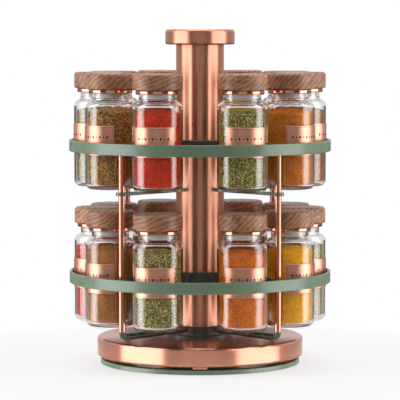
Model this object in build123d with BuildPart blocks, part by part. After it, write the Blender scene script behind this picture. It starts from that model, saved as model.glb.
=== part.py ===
from build123d import *

import os
from math import cos, radians, sin

# Two-tier revolving spice carousel. A copper column stands on a ball-bearing turntable and carries two
# guard rings, two clear shelves and twenty glass jars with walnut lids.
# Millimetres, +Z up, origin at the middle of the face that rests on the table, front towards -Y.

# ---------------------------------------------------------------- clearances
slip_fit = 0.05          # a spigot, rod, eye or glued face inside one rigid group
running_gap = 0.12       # ball to raceway
pocket_gap = 0.15        # ball to cage pocket
rest_gap = 0.3           # a lift-off piece above the seat it stands on
neck_gap = 0.3           # stopper and band to the glass neck, radially

# ---------------------------------------------------------------- turntable
base_radius = 94.5
foot_inset = 2.9         # foot ring inside the base disc's edge
foot_bore_inset = 10.0   # foot ring's bore inside the raceway
foot_rim_top = 4.7
foot_rim_width = 5.6
foot_web_top = 3.0
foot_lift = 0.4          # the ring's underside above the table
foot_edge_fillet = 1.1
pad_count = 8
pad_radius = 5.0
pad_thickness = 1.6
pad_inset = 11.6         # pad centres inside the foot ring's edge

ball_radius = 2.4
ball_count = 16
ball_circle_inset = 26.5  # ball centres inside the base disc's edge
race_width = 16.0
race_thickness = 1.8
groove_depth = 0.7
groove_radius_over_ball = 0.3
cage_thickness = 1.4
cage_width = 11.0

# ---------------------------------------------------------------- base disc and hub
base_gap = 2.6           # between the foot ring's rim and the base disc
base_height = 17.5
base_edge_fillet = 2.4
base_wall = 4.0
base_top_plate = 3.0
base_boss_radius = 16.0
base_boss_height = 8.0   # below the underside of the top plate
index_tab_width = 13.0
index_tab_depth = 4.0
index_tab_height = 1.7

flange_over_column = 8.0
flange_height = 3.1
flange_fillet = 1.4
hub_collar_over_column = 0.8
hub_collar_height = 7.2
spigot_length = 10.0

# ---------------------------------------------------------------- column and cap
column_radius = 22.0
column_wall = 2.0
column_above_upper_jars = 129.4   # column's end above the underside of the upper jars
cap_over_column = 9.8
cap_height = 13.7
cap_top_fillet = 2.3
cap_bottom_fillet = 1.8

tie_rod_radius = 3.0
tie_rod_below_nut = 1.4
tie_rod_into_cap = 7.0
nut_across_flats = 10.0
nut_height = 5.0
nut_flange_radius = 9.0
nut_flange_height = 1.2

# ---------------------------------------------------------------- guard rings and their supports
ring_clearance = 2.0     # ring's inner wall to the glass
ring_thickness = 2.5
ring_height = 10.4
ring_edge_fillet = 0.7
ring_above_jar_foot = {"lower": 35.5, "upper": 32.2}
tier_collar_over_column = 7.0
tier_collar_fillet = 0.8

spoke_width = 4.5
spoke_thickness = 2.4
spoke_below_ring_top = 1.2
rod_eye_wall = 2.4

upright_angles = (-138.0, -42.0, 42.0, 138.0)
upright_outside_jars = 10.8       # rod centres outside the circle of jar centres
upright_radius = 3.0
upright_above_spoke = 1.0
bend_radius = 5.1
lower_arm_above_flange = 4.3      # arm's centre line above the hub flange

upper_arm_width = 4.0
upper_arm_thickness = 3.0
shelf_inset = 4.5        # shelf's edge inside the jars' outermost reach
shelf_thickness = 1.2
shelf_foot_radius = 4.0
shelf_foot_height = 2.9
shelf_foot_inset = 15.0  # saddle feet inside the circle of jar centres

# ---------------------------------------------------------------- jars
jar_radius = 22.5
jar_gap = 3.14           # between neighbours at the sides
jar_pitch = 30.0         # degrees between neighbours at the sides
# place: angle from the front, and the way the label faces, in degrees
jar_places = {
    "front_left": (-23.7, -10.0),
    "fore_left": (-60.0, -40.0),
    "mid_left": (-90.0, -78.0),
    "aft_left": (-120.0, -116.0),
    "back_left": (-156.3, -162.0),
    "front_right": (23.7, 10.0),
    "fore_right": (60.0, 40.0),
    "mid_right": (90.0, 78.0),
    "aft_right": (120.0, 116.0),
    "back_right": (156.3, 162.0),
}
glass_wall = 1.6
glass_floor = 3.0
heel_fillet = 5.0
heel_fillet_inside = 3.4
shoulder_height = 77.6   # where body and shoulder would meet in a sharp corner
shoulder_inset = 5.9     # body radius to neck radius
shoulder_rise = 2.6
shoulder_fillet = 6.6
neck_fillet = 2.4
neck_length = 9.2
neck_wall = 1.4
rim_fillet = 0.5
fill_gap = 0.1           # spice to the inside of the glass
fill_below_shoulder = 8.6
fill_crown = 3.6
fill_crown_share = 0.45  # flat top of the heap, as a share of its radius
fill_edge_fillet = 1.0
fill_crown_fillet = 8.0
label_bottom = 31.0
label_height = 26.5
label_arc = 100.0
label_thickness = 0.5

lid_inset = 0.2          # lid's edge inside the jar's body
lid_height = 14.5
lid_top_fillet = 2.6
lid_bottom_fillet = 1.3
lid_band_wall = 2.7
lid_band_height = 3.7
stopper_length = 7.7
tier_headroom = 15.1     # lower lids to the arms above them

# ---------------------------------------------------------------- places worked out from the sizes
foot_radius = base_radius - foot_inset
pad_circle_radius = foot_radius - pad_inset
ball_circle_radius = base_radius - ball_circle_inset
race_inner_radius = ball_circle_radius - race_width / 2
race_outer_radius = ball_circle_radius + race_width / 2
foot_bore_radius = race_inner_radius - foot_bore_inset
groove_radius = ball_radius + groove_radius_over_ball
groove_rise = groove_radius - ball_radius - running_gap    # groove's centre beyond the ball's
lower_race_top = foot_web_top + race_thickness
ball_centre = lower_race_top - groove_depth + running_gap + ball_radius
upper_race_bottom = ball_centre + ball_radius + running_gap - groove_depth
upper_race_top = upper_race_bottom + race_thickness

base_bottom = foot_rim_top + base_gap
base_top = base_bottom + base_height
top_plate_underside = base_top - base_top_plate
base_boss_bottom = top_plate_underside - base_boss_height
flange_top = base_top + flange_height
column_bottom = flange_top + hub_collar_height
hub_collar_radius = column_radius + hub_collar_over_column
column_bore_radius = column_radius - column_wall
lower_arm_centre = flange_top + lower_arm_above_flange
lower_shelf_bottom = lower_arm_centre + upright_radius + shelf_foot_height

neck_start = shoulder_height + shoulder_rise
neck_top = neck_start + neck_length
neck_radius = jar_radius - shoulder_inset
lid_bottom = neck_top + rest_gap
lid_top = lid_bottom + lid_height
lid_radius = jar_radius - lid_inset
jar_circle_radius = (jar_radius + jar_gap / 2) / sin(radians(jar_pitch / 2))

lower_jar_foot = lower_shelf_bottom + shelf_thickness + rest_gap
upper_arm_bottom = lower_jar_foot + lid_top + tier_headroom
upper_shelf_bottom = upper_arm_bottom + upper_arm_thickness
upper_jar_foot = upper_shelf_bottom + shelf_thickness + rest_gap
jar_feet = {"lower": lower_jar_foot, "upper": upper_jar_foot}
ring_bottoms = {tier: jar_feet[tier] + rise for tier, rise in ring_above_jar_foot.items()}
spoke_drop = spoke_below_ring_top + spoke_thickness
spoke_bottoms = {tier: bottom + ring_height - spoke_drop for tier, bottom in ring_bottoms.items()}

column_top = upper_jar_foot + column_above_upper_jars
cap_top = column_top + cap_height
nut_top = base_boss_bottom
nut_bottom = nut_top - nut_flange_height - nut_height
tie_rod_bottom = nut_bottom - tie_rod_below_nut
tie_rod_top = column_top + tie_rod_into_cap

ring_bore_radius = jar_circle_radius + jar_radius + ring_clearance
ring_radius = ring_bore_radius + ring_thickness
tier_collar_radius = column_radius + tier_collar_over_column
shelf_radius = jar_circle_radius + jar_radius - shelf_inset
shelf_foot_circle_radius = jar_circle_radius - shelf_foot_inset
upright_circle_radius = jar_circle_radius + upright_outside_jars
upright_bottom = lower_arm_centre + bend_radius
upright_top = spoke_bottoms["upper"] + spoke_thickness + upright_above_spoke


# ---------------------------------------------------------------- helpers
def radial_plane(angle, reach=0.0, height=0.0):
    """Upright plane at this angle from the front: its x runs outward from the carousel's axis, its y up."""
    outward = Vector(sin(radians(angle)), -cos(radians(angle)), 0)
    sideways = outward.cross(Vector(0, 0, 1))
    return Plane(origin=outward * reach + Vector(0, 0, height), x_dir=outward, z_dir=sideways)


def jar_plane(tier, place, turn=0.0):
    """Upright plane through a jar's own axis, its x towards the label's middle, or turned from there."""
    angle, facing = jar_places[place]
    stand = radial_plane(angle, jar_circle_radius, jar_feet[tier])
    turned = radial_plane(facing + turn)
    return Plane(origin=stand.origin, x_dir=turned.x_dir, z_dir=turned.z_dir)


def at_uprights(reach):
    """A location for each upright rod, at this distance from the axis, with its x pointing outward."""
    places = []
    for angle in upright_angles:
        x, y = reach * sin(radians(angle)), -reach * cos(radians(angle))
        places.append(Location((x, y, 0), (0, 0, angle - 90)))
    return places


def circles_at(builder, height):
    """The round edges of a piece that lie flat at one height."""
    level = builder.edges().filter_by(GeomType.CIRCLE)
    return level.filter_by_position(Axis.Z, height - 0.01, height + 0.01)


def finish(builder, name):
    """Label a finished piece and write it as its own node."""
    builder.part.label = name
    export_step(builder.part, f"parts/{name}.step")


os.makedirs("parts", exist_ok=True)

# ================================================================ turntable
with BuildPart() as foot_ring:
    with BuildSketch(Plane.XY.offset(foot_lift)):
        Circle(foot_radius)
        Circle(foot_bore_radius, mode=Mode.SUBTRACT)
    extrude(amount=foot_rim_top - foot_lift)
    fillet(circles_at(foot_ring, foot_rim_top).sort_by(SortBy.RADIUS)[-1], foot_edge_fillet)
    with BuildSketch(Plane.XY.offset(foot_web_top)):
        Circle(foot_radius - foot_rim_width)
    extrude(amount=foot_rim_top - foot_web_top, mode=Mode.SUBTRACT)
    with BuildSketch(Plane.XY):
        with PolarLocations(pad_circle_radius, pad_count, start_angle=-90):
            Circle(pad_radius + slip_fit)
    extrude(amount=pad_thickness, mode=Mode.SUBTRACT)
finish(foot_ring, "foot_ring")

with BuildPart() as anti_slip_pads:
    with BuildSketch(Plane.XY):
        with PolarLocations(pad_circle_radius, pad_count, start_angle=-90):
            Circle(pad_radius)
    extrude(amount=pad_thickness)
finish(anti_slip_pads, "anti_slip_pads")


def raceway(bottom, groove_centre):
    """Flat bearing ring with a ball groove, from its underside and the height of the groove's centre."""
    with BuildPart() as race:
        with BuildSketch(Plane.XY.offset(bottom)):
            Circle(race_outer_radius)
            Circle(race_inner_radius, mode=Mode.SUBTRACT)
        extrude(amount=race_thickness)
        with BuildSketch(radial_plane(0)):
            with Locations((ball_circle_radius, groove_centre)):
                Circle(groove_radius)
        revolve(axis=Axis.Z, mode=Mode.SUBTRACT)
    return race


finish(raceway(foot_web_top, ball_centre + groove_rise), "lower_race")
finish(raceway(upper_race_bottom, ball_centre - groove_rise), "upper_race")

with BuildPart() as ball_cage:
    with BuildSketch(Plane.XY.offset(ball_centre - cage_thickness / 2)):
        Circle(ball_circle_radius + cage_width / 2)
        Circle(ball_circle_radius - cage_width / 2, mode=Mode.SUBTRACT)
        with PolarLocations(ball_circle_radius, ball_count):
            Circle(ball_radius + pocket_gap, mode=Mode.SUBTRACT)
    extrude(amount=cage_thickness)
finish(ball_cage, "ball_cage")

with BuildPart(Plane.XY.offset(ball_centre)) as bearing_balls:
    with PolarLocations(ball_circle_radius, ball_count):
        Sphere(ball_radius)
finish(bearing_balls, "bearing_balls")

# ================================================================ base disc, hub, column and cap
with BuildPart() as base_disc:
    with BuildSketch(Plane.XY.offset(base_bottom)):
        Circle(base_radius)
    extrude(amount=base_height)
    fillet(base_disc.edges().filter_by(GeomType.CIRCLE), base_edge_fillet)
    # recess for the bearing, open below
    with BuildSketch(Plane.XY.offset(base_bottom)):
        Circle(base_radius - base_wall)
    extrude(amount=upper_race_top - base_bottom, mode=Mode.SUBTRACT)
    # hollows outside and inside the seat of the upper race
    with BuildSketch(Plane.XY.offset(upper_race_top)):
        Circle(base_radius - base_wall)
        Circle(race_outer_radius, mode=Mode.SUBTRACT)
        Circle(race_inner_radius)
    extrude(amount=top_plate_underside - upper_race_top, mode=Mode.SUBTRACT)
    # boss for the tie rod
    with BuildSketch(Plane.XY.offset(base_boss_bottom)):
        Circle(base_boss_radius)
    extrude(amount=base_boss_height)
    with BuildSketch(Plane.XY.offset(base_bottom)):
        Circle(tie_rod_radius + slip_fit)
    extrude(amount=base_height, mode=Mode.SUBTRACT)
    # small index tab under the front of the rim
    with BuildSketch(Plane.XY.offset(base_bottom - index_tab_height)):
        with Locations((0, -(base_radius - base_edge_fillet - index_tab_depth / 2))):
            Rectangle(index_tab_width, index_tab_depth)
        Circle(base_radius - base_wall, mode=Mode.SUBTRACT)
    extrude(amount=index_tab_height)
finish(base_disc, "base_disc")

with BuildPart() as base_hub:
    with BuildSketch(Plane.XY.offset(base_top)):
        Circle(column_radius + flange_over_column)
    extrude(amount=flange_height)
    fillet(circles_at(base_hub, flange_top), flange_fillet)
    with BuildSketch(Plane.XY.offset(flange_top)):
        Circle(hub_collar_radius)
    extrude(amount=hub_collar_height)
    with BuildSketch(Plane.XY.offset(column_bottom)):
        Circle(column_bore_radius - slip_fit)
    extrude(amount=spigot_length)
    with BuildSketch(Plane.XY.offset(base_top)):
        Circle(tie_rod_radius + slip_fit)
    extrude(amount=column_bottom + spigot_length - base_top, mode=Mode.SUBTRACT)
finish(base_hub, "base_hub")

with BuildPart() as column:
    with BuildSketch(Plane.XY.offset(column_bottom)):
        Circle(column_radius)
        Circle(column_bore_radius, mode=Mode.SUBTRACT)
    extrude(amount=column_top - column_bottom)
finish(column, "column")

with BuildPart() as cap:
    with BuildSketch(Plane.XY.offset(column_top)):
        Circle(column_radius + cap_over_column)
    extrude(amount=cap_height)
    fillet(circles_at(cap, cap_top), cap_top_fillet)
    fillet(circles_at(cap, column_top), cap_bottom_fillet)
    with BuildSketch(Plane.XY.offset(column_top - spigot_length)):
        Circle(column_bore_radius - slip_fit)
    extrude(amount=spigot_length)
    with BuildSketch(Plane.XY.offset(column_top - spigot_length)):
        Circle(tie_rod_radius + slip_fit)
    extrude(amount=spigot_length + tie_rod_into_cap, mode=Mode.SUBTRACT)
finish(cap, "cap")

with BuildPart() as tie_rod:
    with BuildSketch(Plane.XY.offset(tie_rod_bottom)):
        Circle(tie_rod_radius)
    extrude(amount=tie_rod_top - tie_rod_bottom)
finish(tie_rod, "tie_rod")

with BuildPart() as tie_nut:
    with BuildSketch(Plane.XY.offset(nut_bottom)):
        RegularPolygon(nut_across_flats / 2, 6, major_radius=False)
    extrude(amount=nut_height)
    with BuildSketch(Plane.XY.offset(nut_bottom + nut_height)):
        Circle(nut_flange_radius)
    extrude(amount=nut_flange_height)
    with BuildSketch(Plane.XY.offset(nut_bottom)):
        Circle(tie_rod_radius + slip_fit)
    extrude(amount=nut_top - nut_bottom, mode=Mode.SUBTRACT)
finish(tie_nut, "tie_nut")

# ================================================================ guard rings, collars and spokes
for tier, ring_bottom in ring_bottoms.items():
    with BuildPart() as ring:
        with BuildSketch(Plane.XY.offset(ring_bottom)):
            Circle(ring_radius)
            Circle(ring_bore_radius, mode=Mode.SUBTRACT)
        extrude(amount=ring_height)
        fillet(ring.edges().filter_by(GeomType.CIRCLE), ring_edge_fillet)
    finish(ring, f"{tier}_ring")

with BuildPart() as tier_collars:
    for ring_bottom in ring_bottoms.values():
        with BuildSketch(Plane.XY.offset(ring_bottom)):
            Circle(tier_collar_radius)
            Circle(column_radius + slip_fit, mode=Mode.SUBTRACT)
        extrude(amount=ring_height)
    fillet(
        tier_collars.edges().filter_by(GeomType.CIRCLE).group_by(SortBy.RADIUS)[-1], tier_collar_fillet
    )
finish(tier_collars, "tier_collars")


def arms_with_eyes(bottom, width, inner_radius, outer_radius):
    """Outline of four flat arms, each with an eye for its upright rod."""
    with BuildSketch(Plane.XY.offset(bottom)) as outline:
        with Locations(*at_uprights((inner_radius + outer_radius) / 2)):
            Rectangle(outer_radius - inner_radius + 2 * width, width)
        Circle(inner_radius, mode=Mode.SUBTRACT)
        Circle(outer_radius, mode=Mode.INTERSECT)
        with Locations(*at_uprights(upright_circle_radius)):
            Circle(upright_radius + rod_eye_wall)
        with Locations(*at_uprights(upright_circle_radius)):
            Circle(upright_radius + slip_fit, mode=Mode.SUBTRACT)
    return outline.sketch


spoke_outlines = [
    arms_with_eyes(bottom, spoke_width, tier_collar_radius, ring_bore_radius)
    for bottom in spoke_bottoms.values()
]
with BuildPart() as collar_spokes:
    for outline in spoke_outlines:
        extrude(outline, amount=spoke_thickness)
finish(collar_spokes, "collar_spokes")

upper_arm_outline = arms_with_eyes(
    upper_arm_bottom, upper_arm_width, column_radius, upright_circle_radius
)
with BuildPart() as upper_arms:
    extrude(upper_arm_outline, amount=upper_arm_thickness)
finish(upper_arms, "upper_arms")

with BuildPart() as upright_rods:
    with BuildSketch(Plane.XY.offset(upright_bottom)):
        with Locations(*at_uprights(upright_circle_radius)):
            Circle(upright_radius)
    extrude(amount=upright_top - upright_bottom)
finish(upright_rods, "upright_rods")

with BuildPart() as lower_arms:
    for angle in upright_angles:
        rod_foot = radial_plane(angle, upright_circle_radius, upright_bottom).origin
        bend_end = (upright_circle_radius - bend_radius, lower_arm_centre)
        with BuildLine(radial_plane(angle)) as arm_path:
            RadiusArc((upright_circle_radius, upright_bottom), bend_end, bend_radius)
            Line(bend_end, (column_bore_radius, lower_arm_centre))
        with BuildSketch(Plane(rod_foot)):
            Circle(upright_radius)
        sweep(path=arm_path.line)
    with BuildSketch(Plane.XY.offset(flange_top)):
        Circle(hub_collar_radius)
    extrude(amount=hub_collar_height + spigot_length, mode=Mode.SUBTRACT)
finish(lower_arms, "lower_arms")

# ================================================================ clear shelves under the jars
with BuildPart() as clear_shelves:
    for shelf_bottom in (lower_shelf_bottom, upper_shelf_bottom):
        with BuildSketch(Plane.XY.offset(shelf_bottom)):
            Circle(shelf_radius)
            Circle(column_radius + slip_fit, mode=Mode.SUBTRACT)
            with Locations(*at_uprights(upright_circle_radius)):
                Circle(upright_radius + slip_fit, mode=Mode.SUBTRACT)
        extrude(amount=shelf_thickness)
    # saddle feet of the lower shelf, which sit on the round arms
    with BuildSketch(Plane.XY.offset(lower_arm_centre)):
        with Locations(*at_uprights(shelf_foot_circle_radius)):
            Circle(shelf_foot_radius)
    extrude(amount=lower_shelf_bottom - lower_arm_centre)
    for angle in upright_angles:
        outward = radial_plane(angle).x_dir
        with BuildSketch(Plane(origin=(0, 0, lower_arm_centre), z_dir=outward)):
            Circle(upright_radius + slip_fit)
        extrude(amount=jar_circle_radius, mode=Mode.SUBTRACT)
finish(clear_shelves, "clear_shelves")


# ================================================================ jars and lids
def build_jar(tier, place):
    """One jar: the glass, the spice inside it and the curved copper label, as three solids."""
    axis = Axis(jar_plane(tier, place).origin, (0, 0, 1))
    inside_radius = jar_radius - glass_wall
    fill_radius = inside_radius - fill_gap
    fill_floor = glass_floor + fill_gap
    fill_edge = shoulder_height - fill_below_shoulder
    with BuildPart() as jar:
        with BuildSketch(jar_plane(tier, place)):
            with BuildLine():
                glass = FilletPolyline(
                    (0, 0),
                    (jar_radius, 0),
                    (jar_radius, shoulder_height),
                    (neck_radius, neck_start),
                    (neck_radius, neck_top),
                    (neck_radius - neck_wall, neck_top),
                    (neck_radius - neck_wall, neck_start - glass_wall / 2),
                    (inside_radius, shoulder_height - glass_wall / 2),
                    (inside_radius, glass_floor),
                    (0, glass_floor),
                    radius=[
                        heel_fillet,
                        shoulder_fillet,
                        neck_fillet,
                        rim_fillet,
                        rim_fillet,
                        neck_fillet,
                        shoulder_fillet - glass_wall,
                        heel_fillet_inside,
                    ],
                )
                Line(glass @ 1, glass @ 0)
            make_face()
        revolve(axis=axis)
        with BuildSketch(jar_plane(tier, place)):
            with BuildLine():
                heap = FilletPolyline(
                    (0, fill_floor),
                    (fill_radius, fill_floor),
                    (fill_radius, fill_edge),
                    (fill_radius * fill_crown_share, fill_edge + fill_crown),
                    (0, fill_edge + fill_crown),
                    radius=[heel_fillet_inside, fill_edge_fillet, fill_crown_fillet],
                )
                Line(heap @ 1, heap @ 0)
            make_face()
        revolve(axis=axis)
        with BuildSketch(jar_plane(tier, place, -label_arc / 2)):
            with Locations((jar_radius + slip_fit + label_thickness / 2, label_bottom + label_height / 2)):
                Rectangle(label_thickness, label_height)
        revolve(axis=axis, revolution_arc=label_arc)
    return jar


def build_lid(tier, place):
    """One lid: walnut cap, polished band and stopper, as three solids."""
    stand = jar_plane(tier, place).origin
    with BuildPart() as lid:
        with BuildSketch(Plane(stand).offset(lid_bottom)):
            Circle(lid_radius)
        extrude(amount=lid_height)
        fillet(circles_at(lid, stand.Z + lid_top), lid_top_fillet)
        fillet(circles_at(lid, stand.Z + lid_bottom), lid_bottom_fillet)
        with BuildSketch(Plane(stand).offset(lid_bottom - lid_band_height)):
            Circle(neck_radius + neck_gap + lid_band_wall)
            Circle(neck_radius + neck_gap, mode=Mode.SUBTRACT)
        extrude(amount=lid_band_height - slip_fit)
        with BuildSketch(Plane(stand).offset(lid_bottom - stopper_length)):
            Circle(neck_radius - neck_wall - neck_gap)
        extrude(amount=stopper_length - slip_fit)
    return lid


for tier in ("upper", "lower"):
    for place in jar_places:
        finish(build_jar(tier, place), f"{tier}_jar_{place}")
        finish(build_lid(tier, place), f"{tier}_lid_{place}")
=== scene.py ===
"""Looks of a two-tier revolving spice carousel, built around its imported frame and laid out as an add-on."""

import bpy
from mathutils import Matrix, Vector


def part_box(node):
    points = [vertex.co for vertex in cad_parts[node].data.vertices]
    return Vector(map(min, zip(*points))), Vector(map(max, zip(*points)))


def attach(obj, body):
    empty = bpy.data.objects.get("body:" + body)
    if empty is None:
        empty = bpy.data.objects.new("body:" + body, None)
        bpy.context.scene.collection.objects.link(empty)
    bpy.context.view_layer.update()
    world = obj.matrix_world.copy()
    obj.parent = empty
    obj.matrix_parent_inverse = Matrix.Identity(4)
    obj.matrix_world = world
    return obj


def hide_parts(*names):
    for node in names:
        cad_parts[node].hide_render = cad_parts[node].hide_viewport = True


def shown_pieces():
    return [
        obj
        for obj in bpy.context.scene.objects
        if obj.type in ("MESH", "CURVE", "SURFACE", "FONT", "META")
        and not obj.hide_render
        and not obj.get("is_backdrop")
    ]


bl_info = {
    "name": "Spice Carousel",
    "version": (1, 0, 0),
    "blender": (4, 5, 0),
    "location": "View3D > Sidebar > Carousel",
    "description": "Turned copper, walnut lids, glass jars and spices for a revolving spice carousel",
    "category": "Object",
}

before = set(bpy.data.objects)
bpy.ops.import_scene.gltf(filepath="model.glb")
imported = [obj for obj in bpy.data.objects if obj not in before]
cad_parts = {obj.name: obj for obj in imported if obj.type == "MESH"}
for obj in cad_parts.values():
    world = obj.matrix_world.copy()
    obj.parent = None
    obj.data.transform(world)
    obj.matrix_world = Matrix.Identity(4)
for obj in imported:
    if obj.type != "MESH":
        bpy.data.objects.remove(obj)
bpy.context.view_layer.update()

import math

import bpy
import numpy as np
from mathutils import Matrix, Vector, noise

MM = 0.001
TAU = 2 * math.pi

JAR_NODES = [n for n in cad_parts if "_jar_" in n]
LABEL_FACING = {  # the way each label faces, in degrees from the front
    "front_left": -10, "fore_left": -40, "mid_left": -78, "aft_left": -116, "back_left": -162,
    "front_right": 10, "fore_right": 40, "mid_right": 78, "aft_right": 116, "back_right": 162,
}
SPICE_IN_JAR = {
    "upper_front_left": "paprika", "upper_front_right": "oregano", "upper_fore_left": "cumin",
    "upper_fore_right": "curry", "upper_mid_left": "thyme", "upper_mid_right": "nutmeg",
    "upper_aft_left": "nutmeg", "upper_aft_right": "paprika", "upper_back_left": "chilli",
    "upper_back_right": "turmeric", "lower_front_left": "oregano", "lower_front_right": "cinnamon",
    "lower_fore_left": "nutmeg", "lower_fore_right": "turmeric", "lower_mid_left": "paprika",
    "lower_mid_right": "thyme", "lower_aft_left": "cumin", "lower_aft_right": "curry",
    "lower_back_left": "chilli", "lower_back_right": "cinnamon",
}
# spice: (kind, light colour, dark colour), colours linear
SPICES = {
    "paprika": ("powder", (0.64, 0.045, 0.007), (0.29, 0.010, 0.004)),
    "chilli": ("powder", (0.55, 0.07, 0.02), (0.18, 0.02, 0.01)),
    "cinnamon": ("powder", (0.74, 0.185, 0.009), (0.31, 0.048, 0.004)),
    "nutmeg": ("powder", (0.50, 0.19, 0.045), (0.18, 0.06, 0.014)),
    "curry": ("powder", (0.76, 0.24, 0.020), (0.34, 0.078, 0.007)),
    "turmeric": ("powder", (0.93, 0.44, 0.004), (0.56, 0.20, 0.002)),
    "oregano": ("flakes", (0.92, 0.76, 0.25), (0.130, 0.104, 0.028)),
    "thyme": ("flakes", (0.66, 0.56, 0.24), (0.26, 0.21, 0.075)),
    "cumin": ("seeds", (0.86, 0.48, 0.16), (0.26, 0.125, 0.036)),
}


# ------------------------------------------------------------------ settings
def length(name, description, millimetres):
    """A size, from its default in millimetres."""
    return bpy.props.FloatProperty(
        name=name, description=description, default=millimetres * MM, unit="LENGTH", precision=5
    )


def linear_colour(name, description, value):
    """A colour, from its linear default."""
    return bpy.props.FloatVectorProperty(
        name=name, description=description, default=value, subtype="COLOR", size=3, min=0, max=1
    )


class CarouselSizes(bpy.types.PropertyGroup):
    """Sizes that the jars, lids and labels are shaped by."""

    jar_radius: length("Jar radius", "Outside radius of the glass body", 22.5)
    glass_wall: length("Glass wall", "Thickness of the glass body", 1.6)
    glass_floor: length("Glass floor", "Thickness of the glass under the spice", 3.0)
    shoulder_height: length("Shoulder height", "Where body and shoulder would meet", 77.6)
    neck_start: length("Neck start", "Where shoulder and neck would meet", 80.2)
    neck_top: length("Neck top", "Height of the glass rim", 89.4)
    neck_radius: length("Neck radius", "Outside radius of the glass neck", 16.6)
    neck_wall: length("Neck wall", "Thickness of the glass neck", 1.4)
    fill_edge: length("Fill height", "Height of the spice at the glass", 69.0)
    fill_crown: length("Fill crown", "Rise of the heap above its edge", 3.6)
    label_bottom: length("Label bottom", "Lower edge of the label above the jar's foot", 31.0)
    label_height: length("Label height", "Height of the curved label", 26.5)
    label_thickness: length("Label thickness", "Thickness of the label's sheet", 0.5)
    lid_bottom: length("Lid bottom", "Underside of the walnut cap above the jar's foot", 89.7)
    lid_height: length("Lid height", "Height of the walnut cap", 14.5)
    lid_radius: length("Lid radius", "Radius of the walnut cap", 22.3)
    band_radius: length("Band radius", "Outside radius of the copper band", 19.6)
    band_height: length("Band height", "Height of the copper band", 3.7)
    stopper_length: length("Stopper length", "Depth of the stopper in the neck", 7.7)
    label_arc: bpy.props.FloatProperty(
        name="Label arc",
        description="How far the label wraps the jar",
        default=math.radians(100),
        subtype="ANGLE",
    )


class CarouselColours(bpy.types.PropertyGroup):
    """Colours of the finishes, linear."""

    copper: linear_colour("Copper", "Brushed copper", (0.80, 0.385, 0.270))
    copper_dark: linear_colour("Dark copper", "Copper in its brush marks", (0.69, 0.295, 0.190))
    green: linear_colour("Green", "Powder coat", (0.168, 0.238, 0.156))
    walnut_light: linear_colour("Light walnut", "Sapwood streaks", (0.60, 0.295, 0.162))
    walnut_dark: linear_colour("Dark walnut", "Heartwood streaks", (0.19, 0.078, 0.043))
    glass: linear_colour("Glass", "Tint of the glass", (0.985, 0.992, 0.988))


# ------------------------------------------------------------------ shader expressions
class Flow:
    """A shader socket that takes part in Python expressions."""

    def __init__(self, finish, socket):
        self.finish = finish
        self.socket = socket

    def maths(self, operation, first, second):
        return self.finish.node("ShaderNodeMath", {"operation": operation}, {0: first, 1: second})

    def __add__(self, other):
        return self.maths("ADD", self, other)

    def __sub__(self, other):
        return self.maths("SUBTRACT", self, other)

    def __rsub__(self, other):
        return self.maths("SUBTRACT", other, self)

    def __mul__(self, other):
        return self.maths("MULTIPLY", self, other)

    def __pow__(self, other):
        return self.maths("POWER", self, other)

    def __rpow__(self, other):
        return self.maths("POWER", other, self)

    __radd__ = __add__
    __rmul__ = __mul__


def shade(factor, colour):
    """A darker or lighter version of a colour."""
    return tuple(min(1.0, factor * c) for c in colour)


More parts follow.
